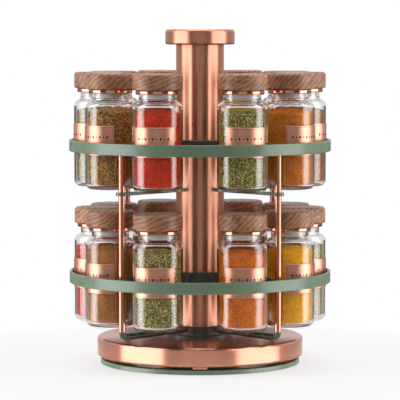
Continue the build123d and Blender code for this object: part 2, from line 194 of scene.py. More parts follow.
class Finish:
    """The nodes of one procedural material, or of the room light."""

    def __init__(self, name, holders=None):
        holders = bpy.data.materials if holders is None else holders
        self.holder = holders.new(name)
        self.holder.use_nodes = True
        self.tree = self.holder.node_tree
        self.tree.nodes.clear()

    def node(self, kind, settings=None, values=None, out=0):
        """Add a node: its settings first, then values or links for its inputs. Gives one of its outputs."""
        node = self.tree.nodes.new(kind)
        for key, value in (settings or {}).items():
            if key == "stops":
                ramp = node.color_ramp
                while len(ramp.elements) < len(value):
                    ramp.elements.new(1.0)
                for element, (place, colour) in zip(ramp.elements, value):
                    element.position = place
                    element.color = (*colour, 1)
            else:
                setattr(node, key, value)
        for key, value in (values or {}).items():
            socket = node.inputs[key]
            if isinstance(value, Flow):
                self.tree.links.new(value.socket, socket)
            elif isinstance(value, tuple) and len(value) == 3 and socket.type == "RGBA":
                socket.default_value = (*value, 1)
            else:
                socket.default_value = value
        return Flow(self, node.outputs[out]) if node.outputs else None

    def mix(self, factor, first, second):
        """Blend two colours."""
        return self.node("ShaderNodeMix", {"data_type": "RGBA"}, {0: factor, 6: first, 7: second}, out=2)

    def parts(self, vector):
        """The x, y and z of a vector."""
        split = self.node("ShaderNodeSeparateXYZ", None, {0: vector})
        return [Flow(self, socket) for socket in split.socket.node.outputs]

    def vector(self, x, y, z):
        """A vector from its parts."""
        return self.node("ShaderNodeCombineXYZ", None, {0: x, 1: y, 2: z})

    def place(self):
        """Coordinates that stay with the piece, in metres."""
        return self.node("ShaderNodeTexCoord", None, None, out="Object")

    def ray(self, kind):
        """1 for rays of this kind, 0 for the others."""
        return self.node("ShaderNodeLightPath", None, None, out=f"Is {kind} Ray")

    def own(self, name):
        """A vector stored on the piece's points."""
        return self.node("ShaderNodeAttribute", {"attribute_name": name}, None, out=1)

    def noise(self, at, scale, detail=3.0, roughness=0.55, distortion=0.0, out=0):
        """Smooth noise with this many cells to a metre."""
        return self.node(
            "ShaderNodeTexNoise",
            None,
            {"Vector": at, "Scale": scale, "Detail": detail, "Roughness": roughness,
             "Distortion": distortion},
            out=out,
        )

    def ramp(self, factor, *stops):
        """Colours at their places along a ramp."""
        return self.node("ShaderNodeValToRGB", {"stops": stops}, {0: factor})

    def span(self, value, low, high, to_low=0.0, to_high=1.0):
        """Map a range of values to another, held at its ends."""
        return self.node(
            "ShaderNodeMapRange", {"clamp": True}, {0: value, 1: low, 2: high, 3: to_low, 4: to_high}
        )

    def bump(self, height, strength, depth):
        """Small relief, with its depth in millimetres."""
        values = {"Height": height, "Strength": strength, "Distance": depth * MM}
        return self.node("ShaderNodeBump", None, values)

    def mix_shader(self, share, first, second):
        """Blend two shaders."""
        return self.node("ShaderNodeMixShader", None, {0: share, 1: first, 2: second})

    def surface(self, **values):
        """The Principled shader, with inputs named by keyword."""
        named = {key.replace("_", " "): value for key, value in values.items()}
        return self.node("ShaderNodeBsdfPrincipled", None, named)

    def output(self, shader, kind="ShaderNodeOutputMaterial"):
        """End the material, or the room light, and give it."""
        self.node(kind, None, {"Surface": shader})
        return self.holder


def brushed(name, light, dark, way="round", roughness=0.26, strength=0.35):
    """Brushed metal. The marks run round the upright axis, up and down it, or round the piece's own axis."""
    finish = Finish(name)
    x, y, z = finish.parts(finish.own("grain") if way == "own" else finish.place())
    fine, coarse = (7000.0, 2600.0) if way == "upright" else (3200.0, 900.0)
    if way == "upright":
        marks = finish.vector(x, y, z * 0.0008)
    elif way == "own":
        marks = finish.vector(x * 0.02, y * 0.02, z)
    else:
        reach = (x * x + y * y) ** 0.5
        marks = finish.vector(x * 0.012, y * 0.012, z + reach)
    hair = finish.noise(marks, fine, detail=2.0, roughness=0.6)
    streak = finish.noise(marks, coarse, detail=3.0)
    cloud = finish.noise(finish.place(), 38.0, detail=2.0)
    mask = finish.span(hair * 0.6 + streak * 0.4, 0.36, 0.66)
    colour = finish.mix(mask, light, dark)
    wear = hair * 0.3 + streak * 0.3 + cloud * 0.4
    shader = finish.surface(
        Base_Color=colour,
        Metallic=1.0,
        Roughness=finish.span(wear, 0.3, 0.7, roughness - 0.04, roughness + 0.05),
        Anisotropic=0.0 if way == "own" else 0.8,
        Anisotropic_Rotation=0.25,
        Normal=finish.bump(hair, strength, 0.02),
    )
    return finish.output(shader)


def polished(name, light, dark, roughness=0.09):
    """Bright metal with faint handling marks."""
    finish = Finish(name)
    cloud = finish.noise(finish.place(), 160.0, detail=3.0)
    smear = finish.noise(finish.place(), 900.0, detail=2.0, distortion=1.5)
    shader = finish.surface(
        Base_Color=finish.mix(finish.span(cloud, 0.35, 0.7, 0.0, 0.5), light, dark),
        Metallic=1.0,
        Roughness=finish.span(cloud * 0.6 + smear * 0.4, 0.3, 0.7, roughness, roughness + 0.08),
        Normal=finish.bump(smear, 0.06, 0.02),
    )
    return finish.output(shader)


def powder_coat(name, colour):
    """Fine matt powder coat with a random cloud in its tone, and painted shade that makes it a little darker
    in its dimples.
    """
    finish = Finish(name)
    grain = finish.noise(finish.place(), 2400.0, detail=2.0, roughness=0.7)
    cloud = finish.noise(finish.place(), 60.0, detail=2.0)
    # painted shade: where the grain sinks in the bump the colour is mixed darker (0.88 against 1.08); the
    # cloud adds random tone
    mask = finish.span(grain * 0.6 + cloud * 0.4, 0.3, 0.7)
    shader = finish.surface(
        Base_Color=finish.mix(mask, shade(0.88, colour), shade(1.08, colour)),
        Roughness=finish.span(cloud, 0.3, 0.7, 0.24, 0.34),
        Specular_IOR_Level=0.8,
        Normal=finish.bump(grain, 0.12, 0.04),
    )
    return finish.output(shader)


def turned_walnut(name, light, dark):
    """Turned walnut: streaked grain, growth rings and open pores, from the grain vector on its points."""
    finish = Finish(name)
    grain = finish.own("grain")
    sway = finish.noise(grain, 26.0, detail=2.0, out=1)
    bend = (0.013, 0.013, 0.013)
    bent = finish.node("ShaderNodeVectorMath", {"operation": "MULTIPLY_ADD"}, {0: sway, 1: bend, 2: grain})
    x, y, z = finish.parts(bent)
    stretched = finish.vector(x * 0.07, y, z)
    rings = finish.node(
        "ShaderNodeTexWave",
        {"wave_type": "BANDS", "bands_direction": "Z"},
        {"Vector": stretched, "Scale": 84.0, "Distortion": 2.6, "Detail": 3.0, "Detail Scale": 1.6},
        out=1,
    )
    streaks = finish.noise(stretched, 170.0, detail=3.0, roughness=0.5)
    fibres = finish.noise(finish.vector(x * 0.05, y, z), 1500.0, detail=3.0, roughness=0.7)
    blotch = finish.noise(grain, 30.0, detail=2.0)
    tone = rings * 0.17 + streaks * 0.45 + blotch * 0.38
    middle = tuple((a + b) / 2 for a, b in zip(dark, light))
    colour = finish.ramp(tone, (0.34, dark), (0.52, middle), (0.70, light))
    veins = finish.noise(stretched, 640.0, detail=2.0)
    lines = finish.span(veins, 0.44, 0.36)
    colour = finish.mix(lines * 0.38, colour, shade(0.45, dark))
    pores = finish.span(fibres, 0.40, 0.32)
    colour = finish.mix(pores * 0.6, colour, shade(0.35, dark))
    shader = finish.surface(
        Base_Color=colour,
        Roughness=finish.span(fibres + pores * 0.3, 0.3, 0.8, 0.27, 0.44),
        Specular_IOR_Level=0.45,
        Normal=finish.bump(fibres - pores * 0.6, 0.22, 0.10),
    )
    return finish.output(shader)


def jar_glass(name, tint):
    """Moulded glass with faint waves in its wall. Lamps and reflected light pass straight through it."""
    finish = Finish(name)
    waves = finish.noise(finish.place(), 42.0, detail=1.0)
    shader = finish.surface(
        Base_Color=tint,
        Roughness=finish.span(waves, 0.3, 0.7, 0.0, 0.012),
        Transmission_Weight=1.0,
        IOR=1.46,
        Normal=finish.bump(waves, 0.02, 0.3),
    )
    clear = finish.node("ShaderNodeBsdfTransparent", None, {"Color": (0.97, 0.975, 0.975)})
    straight = finish.ray("Shadow") + finish.ray("Reflection")
    return finish.output(finish.mix_shader(straight, shader, clear))


def clear_sheet(name):
    """Thin clear acrylic: see-through, with a faint mirror that grows towards grazing views."""
    finish = Finish(name)
    haze = finish.noise(finish.place(), 90.0, detail=2.0)
    clear = finish.node("ShaderNodeBsdfTransparent", None, {"Color": (0.985, 0.99, 0.99)})
    mirror = finish.surface(
        Base_Color=(0.9, 0.93, 0.93),
        Roughness=finish.span(haze, 0.3, 0.7, 0.03, 0.09),
        Normal=finish.bump(haze, 0.04, 0.2),
    )
    edge = finish.node("ShaderNodeFresnel", None, {"IOR": 1.12})
    share = finish.span(edge, 0.0, 1.0, 0.0, 0.05)
    return finish.output(finish.mix_shader(share, clear, mirror))


def ground_spice(name, light, dark):
    """Ground spice: soft clouds where it settled, fine grains and dark specks."""
    finish = Finish(name)
    grain = finish.own("grain")
    cloud = finish.noise(grain, 95.0, detail=4.0, roughness=0.6)
    specks = finish.noise(grain, 900.0, detail=2.0, roughness=0.8)
    tone = finish.span(cloud * 0.35 + specks * 0.65, 0.40, 0.60)
    shader = finish.surface(
        Base_Color=finish.mix(tone, dark, light),
        Roughness=finish.span(specks, 0.3, 0.7, 0.82, 0.98),
        Specular_IOR_Level=0.2,
        Normal=finish.bump(specks, 0.5, 0.25),
    )
    return finish.output(shader)


def leafy_spice(name, light, dark):
    """Dried leaves or seeds: every piece its own shade, from the shade vector on its points."""
    finish = Finish(name)
    shade, vein, _ = finish.parts(finish.own("shade"))
    fibre = finish.noise(finish.own("grain"), 900.0, detail=2.0)
    tone = finish.span(shade * 0.8 + fibre * 0.3, 0.1, 1.0)
    shader = finish.surface(
        Base_Color=finish.mix(tone, dark, light),
        Roughness=finish.span(fibre + vein * 0.2, 0.3, 0.9, 0.7, 0.95),
        Specular_IOR_Level=0.1,
        Normal=finish.bump(fibre, 0.4, 0.1),
    )
    return finish.output(shader)


def soft_material(name, colour, roughness):
    """Silicone or rubber with a faint mottle."""
    finish = Finish(name)
    mottle = finish.noise(finish.place(), 800.0, detail=3.0)
    shader = finish.surface(
        Base_Color=finish.mix(finish.span(mottle, 0.35, 0.65), shade(0.8, colour), colour),
        Roughness=finish.span(mottle, 0.3, 0.7, roughness - 0.06, roughness + 0.06),
        Normal=finish.bump(mottle, 0.2, 0.05),
    )
    return finish.output(shader)


# ------------------------------------------------------------------ shapes
def rounded(corners, radii, step=math.radians(11)):
    """An outline through these corners, with each inner corner rounded to its radius by an arc."""
    points = [Vector(corners[0])]
    for before, corner, after, radius in zip(corners, corners[1:], corners[2:], radii):
        corner = Vector(corner)
        back = (Vector(before) - corner).normalized()
        ahead = (Vector(after) - corner).normalized()
        half = back.angle(ahead) / 2
        if radius <= 0 or half > math.pi / 2 - 1e-4:
            points.append(corner)
            continue
        reach = radius / math.tan(half)
        centre = corner + (back + ahead).normalized() * radius / math.sin(half)
        start = corner + back * reach - centre
        sweep = math.pi - 2 * half
        if start.x * ahead.y - start.y * ahead.x < 0:
            sweep = -sweep
        count = max(2, math.ceil(abs(sweep) / step))
        for i in range(count + 1):
            turn = sweep * i / count
            c, s = math.cos(turn), math.sin(turn)
            points.append(centre + Vector((start.x * c - start.y * s, start.x * s + start.y * c)))
    points.append(Vector(corners[-1]))
    return points


def close_loops(points, reach):
    """Add a point close to each end of the long straight runs, so that shading stays flat along them."""
    out = [points[0]]
    for a, b in zip(points, points[1:]):
        run = (b - a).length
        if run > 4 * reach:
            out += [a.lerp(b, reach / run), a.lerp(b, 1 - reach / run)]
        out.append(b)
    return out


def mesh_piece(name, vertices, faces, materials, body, replaces=(), smooth=True, material_of=None):
    """Make a mesh piece that rides on a body and has its finish's slot."""
    mesh = bpy.data.meshes.new(name)
    mesh.from_pydata([tuple(v) for v in vertices], [], faces)
    mesh.update()
    for material in materials:
        mesh.materials.append(material)
    mesh.polygons.foreach_set("use_smooth", [smooth] * len(mesh.polygons))
    if material_of is not None:
        mesh.polygons.foreach_set("material_index", material_of)
    piece = bpy.data.objects.new(name, mesh)
    bpy.context.scene.collection.objects.link(piece)
    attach(piece, body)
    if replaces:
        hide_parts(*replaces)
    return piece


def store(piece, name, vectors):
    """Keep one vector for each point of the piece, for its material."""
    data = piece.data.attributes.new(name, "FLOAT_VECTOR", "POINT")
    data.data.foreach_set("vector", np.asarray(vectors, dtype=np.float32).ravel())


def lathe(outline, centre=(0.0, 0.0, 0.0), segments=96, shift=None):
    """Turn an outline of (radius, height) about an upright axis. Gives vertices and faces."""
    vertices, rings = [], []
    for radius, height in outline:
        if radius < 1e-7:
            rings.append([len(vertices)])
            vertices.append(Vector((centre[0], centre[1], centre[2] + height)))
            continue
        rings.append(list(range(len(vertices), len(vertices) + segments)))
        for i in range(segments):
            turn = TAU * i / segments
            spot = Vector((radius * math.cos(turn), radius * math.sin(turn), height))
            if shift is not None:
                spot = shift(spot)
            vertices.append(spot + Vector(centre))
    faces = []
    for low, high in zip(rings, rings[1:] + [rings[0]] if len(rings[0]) > 1 else rings[1:]):
        for i in range(segments):
            j = (i + 1) % segments
            if len(low) == 1 and len(high) == 1:
                break
            if len(low) == 1:
                faces.append((low[0], high[j], high[i]))
            elif len(high) == 1:
                faces.append((low[i], low[j], high[0]))
            else:
                faces.append((low[i], low[j], high[j], high[i]))
    return vertices, faces


def turned_piece(name, outline, material, body, replaces=(), centre=(0, 0, 0), segments=96, seed=None):
    """A turned piece from its outline, with weighted normals and, where a seed is given, a grain vector."""
    vertices, faces = lathe(close_loops(outline, 0.4 * MM), centre, segments)
    piece = mesh_piece(name, vertices, faces, [material], body, replaces)
    if seed is not None:
        store(piece, "grain", grain_vectors(vertices, centre, seed))
    weigh_normals(piece)
    return piece


def weigh_normals(piece):
    """Shade flat runs flat and let the narrow roundings take the turn of the light."""
    weighted = piece.modifiers.new("weighted normals", "WEIGHTED_NORMAL")
    weighted.weight = 80
    weighted.keep_sharp = True


def grain_vectors(vertices, centre, seed, tilt=1.1):
    """Points in the frame of the block that the piece was cut from: turned and moved at random."""
    rng = np.random.default_rng(seed)
    turn = Matrix.Rotation(rng.uniform(0, TAU), 3, "Z") @ Matrix.Rotation(rng.uniform(0.35, tilt), 3, "Y")
    offset = Vector(rng.uniform(-2, 2, 3))
    return [turn @ (Vector(v) - Vector(centre)) + offset for v in vertices]


def stand_of(node):
    """Middle of a jar's foot, from the round lid above it and the jar's own lowest point."""
    low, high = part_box(node.replace("_jar_", "_lid_"))
    return Vector(((low[0] + high[0]) / 2, (low[1] + high[1]) / 2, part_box(node)[0][2]))


def copper_finishes():
    """The copper finishes, made once and shared."""
    if "brushed copper" not in bpy.data.materials:
        colours = bpy.context.scene.carousel_colours
        light, dark = tuple(colours.copper), tuple(colours.copper_dark)
        brushed("cap copper", light, dark, roughness=0.34, strength=0.08)
        brushed("brushed copper", light, dark, roughness=0.25, strength=0.08)
        brushed("column copper", light, dark, "upright", roughness=0.29, strength=0.04)
        brushed("brushed label", shade(1.15, light), light, "own", roughness=0.36, strength=0.2)
        polished("bright copper", light, dark, roughness=0.16)
        polished("engraved line", shade(0.5, light), shade(0.4, dark), roughness=0.3)
        polished("mirror copper", shade(1.08, light), dark)
    return bpy.data.materials


def paint_node(node, material):
    """Give a kept CAD node its finish."""
    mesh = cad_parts[node].data
    mesh.materials.clear()
    mesh.materials.append(material)


# ------------------------------------------------------------------ operators
class CAROUSEL_OT_turntable(bpy.types.Operator):
    """Build the foot ring and finish the bearing, pads, tie rod and nut"""

    bl_idname = "carousel.turntable"
    bl_label = "Turntable"

    def execute(self, context):
        colours = context.scene.carousel_colours
        green = powder_coat("green powder coat", tuple(colours.green))
        low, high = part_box("foot_ring")
        r, z0, z1 = high[0], low[2], high[2]
        race_low, race_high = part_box("lower_race")
        seat, rim = 26 * MM, 5.6 * MM
        bore, web = race_high[0] - seat, race_low[2]
        outline = rounded(
            [(bore, z0), (r, z0), (r, z1), (r - rim, z1), (r - rim, web), (bore, web)],
            [0.5 * MM, 1.1 * MM, 0.5 * MM, 0.5 * MM],
        )
        turned_piece("foot_ring_turned", outline, green, "base", ("foot_ring",), segments=192)
        rubber = soft_material("pad rubber", (0.035, 0.035, 0.037), 0.75)
        steel = brushed("bearing steel", (0.60, 0.60, 0.61), (0.42, 0.42, 0.43))
        cage = polished("cage brass", (0.72, 0.55, 0.25), (0.50, 0.36, 0.14), roughness=0.2)
        paint_node("anti_slip_pads", rubber)
        for node in ("lower_race", "upper_race", "bearing_balls", "tie_rod", "tie_nut"):
            paint_node(node, steel)
        paint_node("ball_cage", cage)
        return {"FINISHED"}


class CAROUSEL_OT_column(bpy.types.Operator):
    """Build the copper base disc, column and cap"""

    bl_idname = "carousel.column"
    bl_label = "Base disc, column and cap"

    def execute(self, context):
        metals = copper_finishes()
        paint_node("base_disc", metals["brushed copper"])
        low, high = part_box("column")
        wall, edge = 2 * MM, 0.3 * MM
        outer, inner = high[0], high[0] - wall
        corners = [(inner, low[2]), (outer, low[2]), (outer, high[2]), (inner, high[2])]
        outline = rounded(corners, [edge, edge])
        turned_piece("column_tube", outline, metals["column copper"], "carousel",
                     ("column",), segments=160)
        paint_node("cap", metals["cap copper"])
        return {"FINISHED"}


class CAROUSEL_OT_green_frame(bpy.types.Operator):
    """Build the guard rings and finish the hub, collars, spokes and arms"""

    bl_idname = "carousel.green_frame"
    bl_label = "Guard rings and arms"

    def execute(self, context):
        colours = context.scene.carousel_colours
        green = bpy.data.materials["green powder coat"]
        band = 2.5 * MM
        for tier in ("lower", "upper"):
            low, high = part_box(f"{tier}_ring")
            outer, inner = high[0], high[0] - band
            outline = rounded(
                [(inner, low[2]), (outer, low[2]), (outer, high[2]), (inner, high[2]), (inner, low[2] + MM)],
                [0.8 * MM, 0.8 * MM, 0.6 * MM],
            )
            turned_piece(f"{tier}_ring_rolled", outline, green, "carousel",
                         (f"{tier}_ring",), segments=240)
        # painted shade: the hub, collars, spokes and lower arms get the same green darkened to 0.36, standing
        # in for the shade of the jars and rings above them
        painted_shade_green = powder_coat("deep green powder coat", shade(0.36, colours.green))
        for node in ("base_hub", "tier_collars", "collar_spokes", "lower_arms"):
            paint_node(node, painted_shade_green)
        paint_node("upper_arms", green)
        return {"FINISHED"}


class CAROUSEL_OT_uprights(bpy.types.Operator):
    """Finish the copper upright rods"""

    bl_idname = "carousel.uprights"
    bl_label = "Upright rods"

    def execute(self, context):
        paint_node("upright_rods", copper_finishes()["bright copper"])
        return {"FINISHED"}


class CAROUSEL_OT_shelves(bpy.types.Operator):
    """Finish the clear shelves under the jars"""

    bl_idname = "carousel.shelves"
    bl_label = "Clear shelves"

    def execute(self, context):
        paint_node("clear_shelves", clear_sheet("clear acrylic"))
        return {"FINISHED"}


class CAROUSEL_OT_jars(bpy.types.Operator):
    """Blow the glass jars"""

    bl_idname = "carousel.jars"
    bl_label = "Glass jars"

    def execute(self, context):
        colours = context.scene.carousel_colours
        sizes = context.scene.carousel_sizes
        glass = jar_glass("jar glass", tuple(colours.glass))
        inside = sizes.jar_radius - sizes.glass_wall
        throat = sizes.neck_radius - sizes.neck_wall
        corners = [
            (0, 0.9 * MM), (15.4 * MM, 0.7 * MM), (16.8 * MM, 0), (sizes.jar_radius, 0),
            (sizes.jar_radius, sizes.shoulder_height), (sizes.neck_radius, sizes.neck_start),
            (sizes.neck_radius, sizes.neck_top), (throat, sizes.neck_top),
            (throat, sizes.neck_start - 0.8 * MM), (inside, sizes.shoulder_height - 1.0 * MM),
            (inside, sizes.glass_floor), (0, sizes.glass_floor),
        ]
        radii = [x * MM for x in (1.5, 1.0, 5.0, 6.6, 2.4, 0.6, 0.6, 2.6, 5.2, 3.4)]
        outline = rounded(corners, radii, math.radians(9))
        for node in JAR_NODES:
            turned_piece(f"{node}_glass", outline, glass, f"{node}_body", (node,),
                         centre=stand_of(node), segments=80)
        return {"FINISHED"}


class CAROUSEL_OT_spices(bpy.types.Operator):
    """Fill the jars with ground spices, dried leaves and seeds"""

    bl_idname = "carousel.spices"
    bl_label = "Spices"

    def execute(self, context):
        sizes = context.scene.carousel_sizes
        finishes = {}
        for seed, node in enumerate(JAR_NODES):
            spice = SPICE_IN_JAR[node.replace("_jar_", "_")]
            kind, light, dark = SPICES[spice]
            if spice not in finishes:
                ground = ground_spice(f"{spice} ground", light, dark)
                if kind != "powder":
                    # painted shade: under leaves and seeds the heap is coloured from the spice's dark colour
                    # down to 0.45 of it, standing in for the shade in the gaps between the pieces
                    ground = ground_spice(f"{spice} shade", dark, shade(0.45, dark))
                    finishes[spice, "leaf"] = leafy_spice(f"{spice} {kind}", light, dark)
                finishes[spice] = ground
            centre = stand_of(node)
            inset = 0.0 if kind == "powder" else 0.8 * MM
            self.heap(node, sizes, centre, finishes[spice], seed, inset)
            if kind != "powder":
                self.scatter(node, sizes, centre, finishes[spice, "leaf"], seed, kind)
        return {"FINISHED"}

    def heap(self, node, sizes, centre, material, seed, inset):
        """The heap of spice, a little uneven against the glass and lumpy on top."""
        radius = sizes.jar_radius - sizes.glass_wall - 0.12 * MM - inset
        floor = sizes.glass_floor + 0.12 * MM + inset
        edge = sizes.fill_edge - inset
        corners = [(0, floor), (radius, floor), (radius, edge)]
        side = rounded(corners, [3.3 * MM])
        levels = np.linspace(floor + 4 * MM, edge, 22)[:-1]
        outline = side[:-1] + [Vector((radius, z)) for z in levels]
        for t in np.linspace(1.0, 0.0, 12):
            outline.append(Vector((radius * t, edge + sizes.fill_crown * (1 - t * t))))
        away = Vector(np.random.default_rng(seed).uniform(0, 50, 3))

        def lumpy(spot):
            rough = noise.noise(spot * 260 + away) * 0.5 + noise.noise(spot * 900 + away) * 0.25
            top = max(0.0, (spot.z - edge + 1.5 * MM) / (sizes.fill_crown + 1.5 * MM))
            pull = 1 - (0.006 + 0.006 * rough) * (1 - top)
            slope = noise.noise(Vector((spot.x * 60, spot.y * 60, seed))) * 1.3 * MM
            return Vector((spot.x * pull, spot.y * pull, spot.z + top * (rough * 0.9 * MM + slope)))

        vertices, faces = lathe(outline, centre, 88, lumpy)
        piece = mesh_piece(f"{node}_heap", vertices, faces, [material], f"{node}_body", (node,))
        store(piece, "grain", [Vector(v) + away for v in vertices])

    def scatter(self, node, sizes, centre, material, seed, kind):
        """Leaf flakes or seeds lying against the glass and over the heap."""
        rng = np.random.default_rng(900 + seed)
        radius = sizes.jar_radius - sizes.glass_wall - 0.75 * MM
        side_count, top_count = (8200, 1500) if kind == "flakes" else (3300, 800)
        turn = rng.uniform(0, TAU, side_count)
        height = rng.uniform(sizes.glass_floor + 1.2 * MM, sizes.fill_edge + 0.6 * MM, side_count)
        out = np.stack([np.cos(turn), np.sin(turn), np.zeros(side_count)], 1)
        depth = radius - rng.uniform(0, 0.5 * MM, side_count)
        depth -= np.clip(sizes.glass_floor + 3.2 * MM - height, 0, None) * 0.55
        places = out * depth[:, None] + np.stack([0 * turn, 0 * turn, height], 1)
        reach = np.sqrt(rng.uniform(0, 1, top_count)) * (radius - 0.8 * MM)
        turn = rng.uniform(0, TAU, top_count)
        rise = sizes.fill_edge + sizes.fill_crown * (1 - (reach / radius) ** 2)
        rise += rng.uniform(-0.4, 0.3, top_count) * MM
        places = np.concatenate([places, np.stack([np.cos(turn) * reach, np.sin(turn) * reach, rise], 1)])
        normals = np.concatenate([out, np.tile([0.0, 0.0, 1.0], (top_count, 1))])
        normals += rng.normal(0, 0.16, normals.shape)
        normals /= np.linalg.norm(normals, axis=1)[:, None]
        count = len(places)
        ahead = np.cross(normals, rng.normal(0, 1, normals.shape))
        ahead /= np.linalg.norm(ahead, axis=1)[:, None]
        aside = np.cross(normals, ahead)
        if kind == "flakes":
            lengths, widths, depth = (0.35, 0.95), (0.24, 0.50), 0.16
            shape = [(-1, 0, 0), (-0.2, -1, 0.4), (1, -0.2, 0), (0.3, 0.9, 0.6), (0, 0, 1.6), (0, 0, -0.6)]
        else:
            lengths, widths, depth = (1.3, 2.1), (0.38, 0.55), 0.42
            shape = [(-1, 0, 0), (0, -1, 0), (1, 0, 0), (0, 1, 0), (0, 0, 1), (0, 0, -1)]
        half = [rng.uniform(*lengths, count), rng.uniform(*widths, count), np.full(count, depth)]
        half = np.stack(half, 1)
        cells = [(0, 1, 4), (1, 2, 4), (2, 3, 4), (3, 0, 4), (1, 0, 5), (2, 1, 5), (3, 2, 5), (0, 3, 5)]
        corners = np.array(shape)[None] * half[:, None] * MM
        spots = places[:, None] + corners[..., :1] * ahead[:, None] + corners[..., 1:2] * aside[:, None]
        spots = (spots + corners[..., 2:] * normals[:, None]).reshape(-1, 3)
        flat = np.linalg.norm(spots[:, :2], axis=1)
        most = sizes.jar_radius - sizes.glass_wall - 0.1 * MM
        spots[:, :2] *= np.minimum(1, most / np.maximum(flat, 1e-9))[:, None]
        spots[:, 2] = np.maximum(spots[:, 2], sizes.glass_floor + 0.15 * MM)
        faces = (np.array(cells)[None] + len(shape) * np.arange(count)[:, None, None]).reshape(-1, 3)
        vertices = spots + np.array(centre)
        piece = mesh_piece(f"{node}_{kind}", vertices, faces.tolist(), [material], f"{node}_body",
                           (node,), smooth=kind == "seeds")
        shades = np.stack([rng.beta(1.1, 1.1, count), rng.uniform(0, 1, count), np.zeros(count)], 1)
        store(piece, "shade", np.repeat(shades, len(shape), 0))
        store(piece, "grain", vertices)


class CAROUSEL_OT_labels(bpy.types.Operator):
    """Roll the curved copper labels, each with an engraved border and a row of lozenges"""

    bl_idname = "carousel.labels"
    bl_label = "Labels"

    def execute(self, context):
        sizes = context.scene.carousel_sizes
        metals = copper_finishes()
        engraved = polished("engraved mark", (0.10, 0.05, 0.035), (0.06, 0.03, 0.02), roughness=0.4)
        for node in JAR_NODES:
            place = node.split("_jar_")[1]
            facing = math.radians(LABEL_FACING[place] - 90)
            self.plate(node, sizes, facing, [metals["brushed label"], engraved, metals["engraved line"]])
        return {"FINISHED"}

    def plate(self, node, sizes, facing, materials):
        """One curved label with its marks."""
        centre = stand_of(node)
        inner = sizes.jar_radius + 0.05 * MM
        outer = inner + sizes.label_thickness
        columns, half = 48, sizes.label_arc / 2
        low, high = sizes.label_bottom, sizes.label_bottom + sizes.label_height
        edge = 0.18 * MM
        rim = [(inner, low), (outer - edge, low), (outer, low + edge), (outer, high - edge),
               (outer - edge, high), (inner, high)]
        vertices, faces, kinds = [], [], []
        for i in range(columns + 1):
            turn = facing - half + sizes.label_arc * i / columns
            for r, z in rim:
                vertices.append(Vector((r * math.cos(turn), r * math.sin(turn), z)) + centre)
        n = len(rim)
        for i in range(columns):
            for k in range(n):
                a, b = i * n + k, i * n + (k + 1) % n
                faces.append((a, a + n, b + n, b))
                kinds.append(0)
        faces += [tuple(range(n)), tuple(columns * n + k for k in reversed(range(n)))]
        kinds += [0, 0]
        middle = sizes.label_bottom + 0.62 * sizes.label_height
        for k in range(-4, 5):
            size = (1.55 if k % 2 == 0 else 0.95) * MM
            self.lozenge(vertices, faces, kinds, centre, outer, facing + k * 3.5 * MM / outer, middle, size)
        self.frame_lines(vertices, faces, kinds, centre, outer, facing, sizes)
        piece = mesh_piece(f"{node}_label", vertices, faces, materials, f"{node}_body",
                           (node,), smooth=False, material_of=kinds)
        store(piece, "grain", [Vector(v) - centre for v in vertices])

    def frame_lines(self, vertices, faces, kinds, centre, radius, facing, sizes):
        """A fine engraved line that runs round the label, inset from its edge."""
        inset, line, count = 1.3 * MM, 0.22 * MM, 40
        half = sizes.label_arc / 2 - inset / radius
        low, high = sizes.label_bottom + inset, sizes.label_bottom + sizes.label_height - inset
        runs = [(-half, half, z, z + line, count) for z in (low, high - line)]
        runs += [(a, a + line / radius, low, high, 1) for a in (-half, half - line / radius)]
        r = radius + 0.02 * MM
        for start, end, bottom, top, steps in runs:
            first = len(vertices)
            for i in range(steps + 1):
                at = facing + start + (end - start) * i / steps
                spot = Vector((r * math.cos(at), r * math.sin(at), 0)) + centre
                vertices += [spot + Vector((0, 0, bottom)), spot + Vector((0, 0, top))]
            for i in range(steps):
                a = first + 2 * i
                faces.append((a, a + 2, a + 3, a + 1))
                kinds.append(2)

    def lozenge(self, vertices, faces, kinds, centre, radius, turn, height, size):
        """One diamond mark on the label's face, a hair proud of it."""
        first = len(vertices)
        for across, up in ((-0.72, 0), (0, -1), (0.72, 0), (0, 1)):
            at = turn + across * size / radius
            r = radius + 0.03 * MM
            vertices.append(Vector((r * math.cos(at), r * math.sin(at), height + up * size)) + centre)
        r = radius + 0.06 * MM
        vertices.append(Vector((r * math.cos(turn), r * math.sin(turn), height)) + centre)
        for k in range(4):
            faces.append((first + k, first + (k + 1) % 4, first + 4))
            kinds.append(1)
        faces.append((first + 3, first + 2, first + 1, first))
        kinds.append(1)


